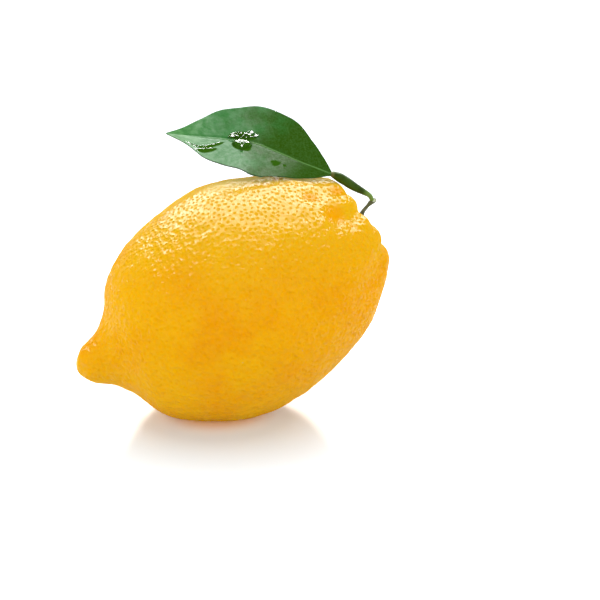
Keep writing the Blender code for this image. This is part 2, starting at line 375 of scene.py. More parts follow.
@dataclass(frozen=True)
class Spot:
    """A round spot on the rind, with its sizes in millimetres; a hollow has a depth."""

    place: Point
    outer: float
    inner: float
    depth: float = 0.0

    def mask(self, graph: Graph, position: Socket) -> Socket:
        """Give 1 within the inner radius, easing to 0 at the outer one."""
        gap = graph.measure("DISTANCE", position, tuple(value * MM for value in self.place))
        return graph.ease(gap, self.outer * MM, self.inner * MM)


STEM_HOLLOWS = (
    Spot((28.4, -14.0, 56.6), 4.4, 0.88, 0.45),
    Spot((23.5, -9.4, 60.2), 3.2, 0.64, 0.2),
    Spot((31.5, -6.2, 59.6), 3.4, 0.68, 0.2),
)


@dataclass(frozen=True)
class Glands:
    """The oil glands of the rind: small round dents, spread evenly over the skin."""

    spacing: float = 1.2 * MM
    radius: float = 0.46 * MM
    unevenness: float = 0.25
    seed: int = 7
    mark: str = "gland"
    dent: Span = (1.3, 0.2)
    dull: Span = (1.1, 0.9)

    def spread(self, places: Array) -> Array:
        """Keep the places that are no closer together than the spacing.

        Args:
            places: Rows of x, y and z to choose from, in metres, first choice first.

        Returns:
            The rows that were kept.
        """
        tree = grow_tree(places)
        free = np.ones(len(places), dtype=bool)
        kept = []
        for index, place in enumerate(places):
            if free[index]:
                kept.append(index)
                for _, neighbour, _ in tree.find_range(place, self.spacing):
                    free[neighbour] = False
        return places[kept]

    def mark_on(self, piece: Piece) -> None:
        """Store at each face corner the way from the nearest gland, in gland radii."""
        loops = np.empty(len(piece.data.loops), dtype=np.int32)
        piece.data.loops.foreach_get("vertex_index", loops)
        corners = read_points(piece)[loops.reshape(-1, 4)]
        chance = np.random.default_rng(self.seed)
        shares = chance.dirichlet(np.ones(4), len(corners))
        places = np.einsum("fc,fcx->fx", shares, corners)
        glands = self.spread(chance.permutation(places))
        radii = self.radius * chance.uniform(1 - self.unevenness, 1 + self.unevenness, len(glands))
        tree = grow_tree(glands)
        nearest = [tree.find(middle)[1] for middle in corners.mean(axis=1)]
        away = (corners - glands[nearest][:, None]) / radii[nearest][:, None, None]
        attribute = piece.data.attributes.new(self.mark, "FLOAT_VECTOR", "CORNER")
        attribute.data.foreach_set("vector", away.astype(np.float32).ravel())

    def distance(self, graph: Graph) -> Socket:
        """Give the distance from the nearest gland, in gland radii."""
        way = graph.add("ShaderNodeAttribute", attribute_name=self.mark).outputs["Vector"]
        return graph.measure("LENGTH", way)


@dataclass(frozen=True)
class RindFinish:
    """Ripe, waxy rind: golden flesh colour that shows through a dimpled skin.

    The spans of places are in millimetres, along X, Y or Z.
    """

    glands: Glands = Glands()
    gold: Colour = (0.77, 0.375, 0.001)
    amber: Colour = (0.75, 0.3, 0.0005)
    amber_at_stem: float = 0.6
    painted_hollow_shade: float = 0.8
    gland_tone_and_shade: float = 0.3
    # Yellower tint for the top: painted light where the light falls on it
    lemon: Tint = ((0.68, 0.4, 0.003), 0.8)
    straw: Tint = ((0.78, 0.425, 0.01), 0.22)
    # Pale cream painted on the crest: painted light that lifts the leaf's shade there
    painted_crest_light: Tint = ((0.86, 0.66, 0.22), 0.6)
    # Red-brown of a painted shadow where the leaf's edge rests on the crest
    painted_leaf_shadow: Tint = ((0.6, 0.25, 0.01), 1.0)
    scar: Tint = ((0.16, 0.08, 0.03), 1.0)
    scuff: Tint = ((0.6, 0.34, 0.1), 0.5)
    leaf_shadow_spot: Spot = Spot((16.7, -0.4, 62.7), 1.4, 0.4)
    nipple_tip: Spot = Spot((-37.3, 0.0, 14.4), 1.2, 0.5)
    slow: Grain = (14 * MM, 2.0)
    quick: Grain = (2.2 * MM, 3.0)
    specks: tuple[float, float, float] = (5 * MM, 0.35 * MM, 0.35)
    stemward: Span = (0.0, 25.0)
    # Heights over which the top is painted yellower, as painted light
    painted_light_heights: Span = (34.0, 60.0)
    crest_front: Span = (-4.5, -0.5)
    crest_back: Span = (8.0, 2.5)
    crest_heights: Span = (59.5, 61.8)
    ripple: Grain = (1.7 * MM, 1.5)
    ripple_share: Span = (1.3, 8.0)
    ripple_heights: Span = (61.0, 48.0)
    crest_ripple: float = 0.3
    dent_depths: Span = (0.7, 1.3)
    bump: float = 0.09 * MM
    roughness: Span = (0.3, 0.42)
    wax: float = 0.55
    dull_wax: float = 0.02
    hollow_wax: float = 0.25
    crest_wax: float = 0.35
    rim_wax: float = 0.3
    wax_roughness: float = 0.16
    wax_bending: float = 1.55
    glow_share: float = 0.25
    glow_reach: Colour = (1.0, 0.45, 0.08)
    glow_scale: float = 2.0 * MM

    def material(self) -> Material:
        """Build the rind's material."""
        material, graph = new_material("lemon_rind")
        position = graph.position()
        distance = self.glands.distance(graph)
        dents = graph.ease(distance, *self.glands.dent)
        dull = graph.ease(distance, *self.glands.dull)
        quick = graph.group(MOTTLE, position, *self.quick)
        crest = graph.times(
            graph.along(position, Y, self.crest_front),
            graph.along(position, Y, self.crest_back),
            graph.along(position, Z, self.crest_heights),
        )
        hollow: Value = 0.0
        for spot in STEM_HOLLOWS:
            hollow = graph.maths("MAXIMUM", spot.mask(graph, position), hollow)

        # The flesh is deeper towards the stem end; its top is painted yellower, painted light where
        # the light falls on it
        slow = graph.group(MOTTLE, position, *self.slow)
        colour = graph.tint(
            graph.mix(slow, self.amber, self.gold),
            (graph.along(position, X, self.stemward), (self.amber, self.amber_at_stem)),
            (graph.along(position, Z, self.painted_light_heights), self.lemon),
            (quick, self.straw),
            # Painted light: the crest is painted pale cream where the leaf shades it
            (crest, self.painted_crest_light),
            # Painted shade: the stem end's hollows are painted deeper amber
            (hollow, (self.amber, self.painted_hollow_shade)),
            # The gland dents are tinted amber, partly their own tone and partly painted shade
            (dents, (self.amber, self.gland_tone_and_shade)),
            # Painted shadow: a red-brown spot on the crest where the leaf's edge rests
            (self.leaf_shadow_spot.mask(graph, position), self.painted_leaf_shadow),
            (self.nipple_tip.mask(graph, position), self.scar),
            (graph.group(SPECK, position, *self.specks), self.scuff),
        )
        ripple = graph.noise(position, *self.ripple)
        dimples = graph.times(graph.span(dents, 1.0, 0.0), graph.span(ripple, *self.dent_depths))
        share = graph.span(graph.along(position, Z, self.ripple_heights), *self.ripple_share)
        share = graph.times(share, graph.span(crest, 1.0, self.crest_ripple))
        normal = graph.bump(graph.maths("ADD", graph.times(ripple, share), dimples), self.bump)
        facing = graph.add("ShaderNodeLayerWeight", {"Blend": 0.5}).outputs["Facing"]
        wax = graph.times(
            graph.span(dull, self.wax, self.dull_wax),
            graph.span(hollow, 1.0, self.hollow_wax),
            graph.span(crest, 1.0, self.crest_wax),
            graph.span(facing, 1.0, self.rim_wax),
        )
        graph.shade(
            {
                "Base Color": colour,
                "Roughness": graph.span(quick, *self.roughness),
                "Normal": normal,
                "Specular IOR Level": 0.0,
                "Subsurface Weight": self.glow_share,
                "Subsurface Radius": self.glow_reach,
                "Subsurface Scale": self.glow_scale,
                "Coat Weight": wax,
                "Coat Roughness": self.wax_roughness,
                "Coat IOR": self.wax_bending,
                "Coat Normal": normal,
            }
        )
        return material


@dataclass
class Rind:
    """The whole fruit's skin, from the CAD solid's own form."""

    finish: RindFinish
    cell: float = 0.47 * MM
    weld: float = 0.001 * MM
    smoothing_rounds: int = 6
    swell: float = 0.4 * MM
    swell_size: float = 5.5 * MM
    wrinkle: float = 0.1 * MM
    wrinkle_size: float = 2.4 * MM
    detail: float = 1.5
    foot: Span = (0.1, 2.0)

    def build(self) -> Piece:
        """Build the rind and dress it."""
        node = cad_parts["fruit"]
        piece = bpy.data.objects.new("lemon_rind", node.data.copy())
        bpy.context.scene.collection.objects.link(piece)
        with editing(piece):
            bpy.ops.mesh.customdata_custom_splitnormals_clear()
            bpy.ops.mesh.remove_doubles(threshold=self.weld)
            bpy.ops.mesh.tris_convert_to_quads()
        apply_modifier(piece, "SUBSURF", levels=1, render_levels=1)
        apply_modifier(piece, "REMESH", mode="VOXEL", voxel_size=self.cell)
        apply_modifier(piece, "SMOOTH", factor=0.5, iterations=self.smoothing_rounds)
        apply_modifier(piece, "NODES", node_group=self.relief())
        self.finish.glands.mark_on(piece)
        return finish_piece(piece, self.finish.material(), "fruit")

    def relief(self) -> bpy.types.NodeTree:
        """Build the modifier that swells and wrinkles the skin and sinks its hollows."""
        tree = bpy.data.node_groups.new("rind_relief", "GeometryNodeTree")
        for way in ("INPUT", "OUTPUT"):
            tree.interface.new_socket("Geometry", in_out=way, socket_type="NodeSocketGeometry")
        graph = Graph(tree)
        position = graph.add("GeometryNodeInputPosition").outputs[0]
        rise: Value = 0.0
        for size, amount in ((self.swell_size, self.swell), (self.wrinkle_size, self.wrinkle)):
            noise = graph.noise(position, size, self.detail)
            rise = graph.maths("ADD", graph.span(noise, -amount, amount), rise)
        for spot in STEM_HOLLOWS:
            sink = graph.times(spot.mask(graph, position), -spot.depth * MM)
            rise = graph.maths("ADD", rise, sink)
        rise = graph.times(rise, graph.along(position, Z, self.foot))
        normal = graph.add("GeometryNodeInputNormal").outputs[0]
        offset = graph.add("ShaderNodeVectorMath", {0: normal, 3: rise}, operation="SCALE")
        inputs = {"Geometry": graph.add("NodeGroupInput").outputs[0], "Offset": offset.outputs[0]}
        moved = graph.add("GeometryNodeSetPosition", inputs)
        graph.add("NodeGroupOutput", {0: moved.outputs[0]})
        return tree


def sweep(name: str, route: Array, groove: float = 0.0, turn_deg: float = 0.0) -> Piece:
    """Sweep a circle of changing width along a route and close its ends.

    Args:
        name: The piece's name.
        route: Rows of x, y, z and half width, in metres.
        groove: How deep the top is pressed in, as a share of the half width.
        turn_deg: How far the top leans from upright, in degrees.

    Returns:
        The swept mesh.
    """
    bpy.ops.curve.primitive_bezier_circle_add(radius=1.0, location=(0.0, 0.0, 0.0))
    section = bpy.context.object
    section.data.resolution_u = SECTION_STEPS
    for knot in section.data.splines[0].bezier_points:
        for place in (knot.co, knot.handle_left, knot.handle_right):
            if knot.co.y > 0.0:
                place.y -= groove * (1.0 - abs(place.x))
    bpy.ops.curve.primitive_nurbs_path_add(location=(0.0, 0.0, 0.0))
    piece = bpy.context.object
    piece.name = name
    curve = piece.data
    curve.splines.clear()
    curve.twist_mode = "Z_UP"
    curve.bevel_mode = "OBJECT"
    curve.bevel_object = section
    curve.use_fill_caps = True
    spline = curve.splines.new("POLY")
    spline.points.add(len(route) - 1)
    for target, (x, y, z, radius) in zip(spline.points, route):
        target.co = (x, y, z, 1.0)
        target.radius = radius
        target.tilt = math.radians(turn_deg)
    take_up(piece)
    bpy.ops.object.convert(target="MESH")
    bpy.data.objects.remove(section, do_unlink=True)
    with editing(piece):
        bpy.ops.mesh.remove_doubles(threshold=SWEEP_WELD)
        bpy.ops.mesh.normals_make_consistent(inside=False)
    return piece


def mark_run(piece: Piece, route: Array) -> None:
    """Store how far along a route each point of a mesh lies, from 0 to 1."""
    points = read_points(piece)
    gaps = np.linalg.norm(points[:, None, :] - route[None, :, :3], axis=2)
    write_marks(piece, "run", gaps.argmin(axis=1) / (len(route) - 1))


def dress(piece: Piece, material: Material) -> None:
    """Shade a piece smooth and give it its only material."""
    with editing(piece):
        bpy.ops.mesh.faces_shade_smooth()
    piece.data.materials.clear()
    piece.data.materials.append(material)


def finish_piece(piece: Piece, material: Material, node: str) -> Piece:
    """Dress a piece and let it stand for its CAD node.

    Args:
        piece: The finished mesh.
        material: Its material.
        node: The CAD node that it replaces.

    Returns:
        The same piece.
    """
    dress(piece, material)
    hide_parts(node)
    return piece


@dataclass(frozen=True)
class GrownFinish:
    """A grown surface: two mottled colours, tints laid over them, and a fine bump."""

    name: str
    first: Colour
    second: Colour
    slow: Grain
    fine: Grain
    bump: float
    roughness: Span
    shine: float = 0.5
    wax: float = 0.0
    wax_roughness: float = 0.25

    def layers(self, graph: Graph, position: Socket) -> tuple[tuple[Value, Tint], ...]:
        """Give the tints to lay on, each with its mask; a plain surface has none."""
        return ()

    def material(self) -> Material:
        """Build the surface's material."""
        material, graph = new_material(self.name)
        position = graph.position()
        slow = graph.group(MOTTLE, position, *self.slow)
        fine = graph.group(MOTTLE, position, *self.fine)
        colour = graph.mix(slow, self.first, self.second)
        graph.shade(
            {
                "Base Color": graph.tint(colour, *self.layers(graph, position)),
                "Roughness": graph.span(fine, *self.roughness),
                "Normal": graph.bump(fine, self.bump),
                "Specular IOR Level": self.shine,
                "Coat Weight": self.wax,
                "Coat Roughness": self.wax_roughness,
            }
        )
        return material


@dataclass(frozen=True)
class CalyxFinish(GrownFinish):
    """Dry, matt green-brown button, mottled in two colours."""

    name: str = "calyx"
    first: Colour = (0.13, 0.17, 0.05)
    second: Colour = (0.12, 0.075, 0.03)
    slow: Grain = (1.6 * MM, 4.0)
    fine: Grain = (0.3 * MM, 3.0)
    bump: float = 0.08 * MM
    roughness: Span = (0.6, 0.85)


@dataclass
class Calyx:
    """The five-lobed button in the pit, grown from a disc by pulling out its lobes."""

    finish: CalyxFinish
    centre: Point = (81.0, 0.0, 2.6)
    facing: Point = (1.0, 0.13, 0.14)
    disc_radius: float = 2.3
    lobes: int = 5
    sides_to_a_lobe: int = 8
    pulls: tuple[Span, ...] = ((1.0, 0.86), (0.8, 0.62), (0.45, 0.3))
    disc_steps: tuple[Span, ...] = ((0.35, 0.05), (0.2, 0.6), (0.5, 0.1))
    lobe_height: float = 0.75
    thinned: float = 0.9
    side_share: float = 0.9
    side_facing: float = 0.5
    top_facing: float = 0.9
    pit_curve: float = 0.028
    sunk: float = 0.1

    def build(self) -> Piece:
        """Build the calyx and dress it."""
        sides = self.lobes * self.sides_to_a_lobe
        bpy.ops.mesh.primitive_cylinder_add(
            vertices=sides,
            radius=self.disc_radius * MM,
            depth=self.lobe_height * MM,
            location=(0.0, 0.0, self.lobe_height * MM / 2.0),
        )
        piece = bpy.context.object
        piece.name = "calyx_button"
        for lobe in range(self.lobes):
            self.pull_lobe(piece, math.tau * lobe / self.lobes)
        self.raise_disc(piece)
        with editing(piece):
            bpy.ops.mesh.normals_make_consistent(inside=False)
        apply_modifier(piece, "SUBSURF", levels=2, render_levels=2)
        points = read_points(piece)
        spread = np.hypot(points[:, 0], points[:, 1]) / MM
        points[:, 2] += (self.pit_curve * spread**2 - self.sunk) * MM
        write_points(piece, points)
        turn = Vector(self.facing).to_track_quat("Z", "Y").to_matrix().to_4x4()
        move = Matrix.Translation(Vector(self.centre) * MM)
        piece.data.transform(FRUIT_FRAME @ move @ turn)
        piece.matrix_world = Matrix.Identity(4)
        return finish_piece(piece, self.finish.material(), "calyx")

    def pull_lobe(self, piece: Piece, angle: float) -> None:
        """Pull one pointed lobe out of the disc's side at an angle."""
        outward = Vector((math.cos(angle), math.sin(angle), 0.0))
        half_lobe = (self.sides_to_a_lobe / 2.0 - 1.0) / self.sides_to_a_lobe
        widest = math.tau / self.lobes * half_lobe
        side = self.disc_radius * MM * self.side_share
        with editing(piece, "DESELECT"):
            bpy.ops.mesh.select_mode(type="FACE")
            bpy.ops.object.mode_set(mode="OBJECT")
            for face in piece.data.polygons:
                spot = face.center.copy()
                spot.z = 0.0
                beside = abs(face.normal.z) < self.side_facing and spot.length > side
                face.select = beside and spot.angle(outward) < widest
            bpy.ops.object.mode_set(mode="EDIT")
            reach = self.disc_radius
            for pull, narrowed in self.pulls:
                reach += pull
                step = outward * pull * MM
                bpy.ops.mesh.extrude_region_move(TRANSFORM_OT_translate={"value": step})
                bpy.ops.transform.resize(
                    value=(narrowed, narrowed, self.thinned),
                    center_override=(*(outward.xy * reach * MM), 0.0),
                )

    def raise_disc(self, piece: Piece) -> None:
        """Raise the disc's middle to the foot of the twig."""
        with editing(piece, "DESELECT"):
            bpy.ops.object.mode_set(mode="OBJECT")
            for face in piece.data.polygons:
                face.select = face.normal.z > self.top_facing and len(face.vertices) > 4
            bpy.ops.object.mode_set(mode="EDIT")
            for thickness, depth in self.disc_steps:
                bpy.ops.mesh.inset(thickness=thickness * MM, depth=depth * MM)


@dataclass(frozen=True)
class BarkFinish(GrownFinish):
    """Grey-green young bark with fine lengthwise grooves, a pale cut end and painted shade at its
    foot.
    """

    name: str = "twig_bark"
    first: Colour = (0.075, 0.105, 0.045)
    second: Colour = (0.16, 0.18, 0.11)
    slow: Grain = (1.4 * MM, 3.0)
    fine: Grain = (0.22 * MM, 3.0)
    bump: float = 0.05 * MM
    roughness: Span = (0.45, 0.65)
    dark: Tint = ((0.03, 0.035, 0.015), 1.0)
    foot_shade: Span = (0.35, 0.05)
    specks: tuple[float, float, float] = (0.8 * MM, 0.2 * MM, 0.4)
    wood: Tint = ((0.62, 0.66, 0.42), 1.0)

    def layers(self, graph: Graph, position: Socket) -> tuple[tuple[Value, Tint], ...]:
        """Paint shade on the foot by the fruit, scatter grey specks and bare the wood at the cut."""
        return (
            # Painted shade: the foot is darkened where the twig meets the fruit
            (graph.ease(graph.mark("run"), *self.foot_shade), self.dark),
            (graph.group(SPECK, position, *self.specks), (self.second, 1.0)),
            (graph.mark("cut"), self.wood),
        )


@dataclass
class Twig:
    """The short twig from the calyx, cut on a slant just past the leaf's elbow."""

    finish: BarkFinish
    route: tuple[Knot, ...] = (
        (82.3, 0.17, 2.78, 1.7), (82.9, 0.24, 2.85, 1.45), (83.4, 0.3, 2.92, 1.05),
        (83.9, 0.37, 3.1, 0.78), (84.6, 0.4, 3.75, 0.58), (85.6, 0.35, 4.4, 0.5),
        (86.6, 0.13, 4.95, 0.48), (87.5, -0.08, 5.4, 0.66), (88.8, -0.45, 6.0, 0.74),
        (89.9, -0.76, 6.52, 0.74),
    )
    rings: int = 80
    cut_place: Point = (88.1, -0.45, 6.0)
    cut_facing: Point = (0.5, -0.62, 0.6)
    bark_edge: float = 0.13 * MM
    groove_depth: float = 0.035 * MM
    grooves: int = 7
    groove_twist: float = 9.0
    ridges: int = 3
    ridge_twist: float = 25.0
    ridge_share: float = 0.6
    smooth_core: float = 0.3 * MM
    smooth_end: Span = (0.98, 0.9)

    def build(self) -> Piece:
        """Build the twig and dress it."""
        route = even_steps(smooth_curve(self.route, ROUTE_SAMPLES, spaced_by=3), self.rings) * MM
        for row in route:
            row[:3] = FRUIT_FRAME @ Vector(row[:3])
        piece = sweep("twig", route)
        self.cut_end(piece)
        mark_run(piece, route)
        self.groove_bark(piece, route)
        return finish_piece(piece, self.finish.material(), "stem")

    def cut_end(self, piece: Piece) -> None:
        """Slice the far end on a slant and set its pale wood inside the bark."""
        place = FRUIT_FRAME @ (Vector(self.cut_place) * MM)
        facing = (FRUIT_FRAME.to_3x3() @ Vector(self.cut_facing)).normalized()
        with editing(piece):
            bpy.ops.mesh.bisect(plane_co=place, plane_no=facing, clear_outer=True)
        with editing(piece, "DESELECT"):
            bpy.ops.mesh.select_mode(type="VERT")
            bpy.ops.mesh.select_non_manifold()
            bpy.ops.mesh.edge_face_add()
            bpy.ops.mesh.select_mode(type="FACE")
            bpy.ops.mesh.inset(thickness=self.bark_edge, depth=0.0)
            bpy.ops.mesh.inset(thickness=self.bark_edge / 2.0, depth=-self.bark_edge / 3.0)
            bpy.ops.mesh.poke()
        chosen = np.array([vert.select for vert in piece.data.vertices])
        write_marks(piece, "cut", chosen.astype(float))

    def groove_bark(self, piece: Piece, route: Array) -> None:
        """Press fine lengthwise grooves into the bark."""
        points = read_points(piece)
        marks = np.empty(len(points), dtype=np.float32)
        piece.data.attributes["run"].data.foreach_get("value", marks)
        middles = route[np.rint(marks * (len(route) - 1)).astype(int), :3]
        outward = points - middles
        angle = np.arctan2(outward[:, 2], outward[:, 1])
        length = np.linalg.norm(outward, axis=1)
        wave = np.cos(self.grooves * angle + self.groove_twist * marks)
        wave += self.ridge_share * np.cos(self.ridges * angle - self.ridge_twist * marks)
        shift = self.groove_depth * wave * ease(marks, *self.smooth_end)
        shift[length < self.smooth_core] = 0.0
        share = shift / np.maximum(length, self.smooth_core)
        write_points(piece, points + outward * share[:, None])


@dataclass(frozen=True)
class StalkFinish(GrownFinish):
    """Smooth green leaf stalk, lighter at its elbow and brownish at its joint."""

    name: str = "leaf_stalk"
    first: Colour = (0.028, 0.055, 0.002)
    second: Colour = (0.042, 0.092, 0.003)
    slow: Grain = (2.5 * MM, 3.0)
    fine: Grain = (0.3 * MM, 2.0)
    bump: float = 0.03 * MM
    roughness: Span = (0.32, 0.45)
    shine: float = 0.1
    wax: float = 0.12
    light: Tint = ((0.18, 0.29, 0.06), 0.75)
    elbow: Span = (0.3, 0.12)
    olive: Tint = ((0.13, 0.12, 0.03), 0.8)
    joint: Span = (0.94, 0.985)

    def layers(self, graph: Graph, position: Socket) -> tuple[tuple[Value, Tint], ...]:
        """Lighten the elbow and brown the joint with the blade."""
        run = graph.mark("run")
        return (
            (graph.ease(run, *self.elbow), self.light),
            (graph.ease(run, *self.joint), self.olive),
        )


@dataclass
class LeafStalk:
    """The flattened stalk from the elbow on the twig to the base of the blade."""

    finish: StalkFinish
    route: tuple[Knot, ...] = (
        (42.7, -0.3, 54.75, 0.5), (42.45, -0.25, 55.25, 0.6), (42.25, -0.15, 55.8, 0.64),
        (41.8, 0.0, 56.3, 0.68), (40.9, 0.1, 56.9, 0.8), (38.4, -0.1, 58.5, 1.12),
        (36.6, -0.5, 59.8, 1.28), (34.8, -1.1, 61.2, 1.32), (32.9, -1.6, 62.5, 1.26),
        (31.9, -1.95, 63.1, 1.0), (31.4, -2.1, 63.35, 0.92), (30.7, -2.3, 63.5, 0.55),
    )
    rings: int = 80
    groove: float = 0.12
    lean_deg: float = -26.0

    def build(self) -> Piece:
        """Build the leaf stalk and dress it."""
        route = even_steps(smooth_curve(self.route, ROUTE_SAMPLES, spaced_by=3), self.rings) * MM
        piece = sweep("leaf_stalk", route, self.groove, self.lean_deg)
        mark_run(piece, route)
        return finish_piece(piece, self.finish.material(), "petiole")


@dataclass(frozen=True)
class BladeForm:
    """The blade's own surface, by its share from base to tip and its place across.

    Places across run from -1 at the near edge to 1 at the far edge. Sizes are in
    millimetres.
    """

    midrib: tuple[Point, ...] = (
        (30.8, -2.3, 63.4), (27.4, 1.2, 64.4), (24.2, 3.9, 65.4), (18.5, 7.4, 67.7),
        (13.6, 9.6, 69.6), (6.5, 11.4, 70.7), (-0.7, 12.3, 71.7), (-9.6, 12.7, 73.2),
    )
    widths: tuple[Point, ...] = (
        (0.0, 0.5, 0.5), (0.05, 2.2, 3.2), (0.12, 4.5, 5.4), (0.2, 7.5, 7.7), (0.3, 10.8, 11.0),
        (0.4, 12.2, 13.1), (0.5, 12.7, 13.1), (0.6, 10.6, 11.8), (0.7, 9.0, 10.3), (0.8, 5.9, 8.6),
        (0.9, 2.4, 3.3), (1.0, 0.1, 0.1),
    )
    slope_deg: float = 29.0
    heading_deg: float = 15.0
    fold_deg: float = 7.5
    wave: float = 0.35
    waves: float = 3.5
    near_shift: float = 1.9
    least_width: float = 0.05
    samples: int = 1200

    def run(self) -> Array:
        """Give the midrib's samples, evenly spaced from base to tip."""
        return even_steps(smooth_curve(self.midrib, self.samples, spaced_by=3), self.samples)

    def length(self) -> float:
        """Give the midrib's length."""
        return float(np.linalg.norm(np.diff(self.run(), axis=0), axis=1).sum())

    def half_width(self, share: Array, side: Side) -> Array:
        """Give one half's width at shares of the length."""
        rows = smooth_curve(self.widths, self.samples, spaced_by=1)
        return np.interp(share, rows[:, 0], np.maximum(rows[:, side.value], self.least_width))

    def directions(self) -> tuple[Array, Array]:
        """Give the sideways and upward directions along the midrib."""
        heading = math.radians(self.heading_deg)
        slope = math.radians(self.slope_deg)
        level = np.array([math.sin(heading), math.cos(heading), 0.0])
        rough = math.cos(slope) * level + math.sin(slope) * np.array([0.0, 0.0, 1.0])
        run = np.gradient(self.run(), axis=0)
        run /= np.linalg.norm(run, axis=1)[:, None]
        sideways = rough - (run @ rough)[:, None] * run
        sideways /= np.linalg.norm(sideways, axis=1)[:, None]
        upward = np.cross(sideways, run)
        upward *= np.sign(upward[:, 2])[:, None]
        return sideways, upward

    def places(self, share: Array, across: Array, lift: Array) -> Array:
        """Give points on the blade or above it.

        Args:
            share: Shares of the length, from base to tip.
            across: Places across, from -1 to 1.
            lift: Heights above the surface.

        Returns:
            Rows of x, y and z in millimetres.
        """
        marks = np.linspace(0.0, 1.0, self.samples)
        far = across > 0.0
        widths = [self.half_width(share, side) for side in (Side.FAR, Side.NEAR)]
        reach = np.abs(across) * np.where(far, *widths)
        fold = math.radians(self.fold_deg)
        shift = np.where(far, 0.0, self.near_shift)
        wave = self.wave * across**2 * np.sin(math.pi * np.clip(share, 0.0, 1.0))
        wave *= np.sin(math.tau * self.waves * share + shift)
        side = np.sign(across) * reach * math.cos(fold)
        rise = reach * math.sin(fold) + wave + lift

        def along(rows: Array) -> Array:
            """Read rows at the shares of the length."""
            return np.stack([np.interp(share, marks, column) for column in rows.T], axis=1)

        sideways, upward = self.directions()
        return along(self.run()) + side[:, None] * along(sideways) + rise[:, None] * along(upward)


@dataclass(frozen=True)
class Pool:
    """One body of water on the blade, long and round-ended.

    Its two ends are each a share of the blade's length and a place across it.
    Its half width and height are in millimetres, and ripple is the share of its
    height that its surface is uneven by.
    """

    start: Span
    end: Span
    half_width: float
    height: float = 0.0
    ripple: float = 0.0
    phase: float = 0.0
    unevenness: float = 0.08
    soft_edge: Span = (1.06, 0.94)

    def axes(self, form: BladeForm) -> tuple[Array, Array, Array]:
        """Measure the pool on the blade.

        Args:
            form: The blade that it lies on.

        Returns:
            Its middle, the millimetres in one share and one across, and its two half
            axes as rows, in millimetres.
        """
        ends = np.array([self.start, self.end])
        middle = ends.mean(axis=0)
        side = Side.FAR if middle[1] > 0.0 else Side.NEAR
        sizes = np.array([form.length(), float(form.half_width(middle[:1], side)[0])])
        along = (ends[1] - ends[0]) / 2.0 * sizes
        beside = np.array([-along[1], along[0]]) / np.linalg.norm(along) * self.half_width
        return middle, sizes, np.stack([along, beside])

    def outline(self, place: Array) -> Array:
        """Give the uneven outline's reach in the directions of places."""
        angle = np.arctan2(place[:, 1], place[:, 0])
        waves = np.sin(2.0 * angle + self.phase) + np.sin(3.0 * angle - 2.0 * self.phase)
        return 1.0 + self.unevenness * waves

    def spread(self, form: BladeForm, place: Array) -> tuple[Array, Array]:
        """Turn places within the pool, from -1 to 1, into shares and places across."""
        middle, sizes, axes = self.axes(form)
        spot = middle + place @ axes * self.outline(place)[:, None] / sizes
        return spot[:, 0], spot[:, 1]

    def cover(self, form: BladeForm, share: Array, across: Array) -> Array:
        """Give 1 at the places that the pool wets and 0 elsewhere."""
        middle, sizes, axes = self.axes(form)
        offset = (np.stack([share, across], axis=1) - middle) * sizes
        place = offset @ axes.T / (axes**2).sum(axis=1)
        distance = np.linalg.norm(place, axis=1) / self.outline(place)
        return ease(distance, *self.soft_edge)


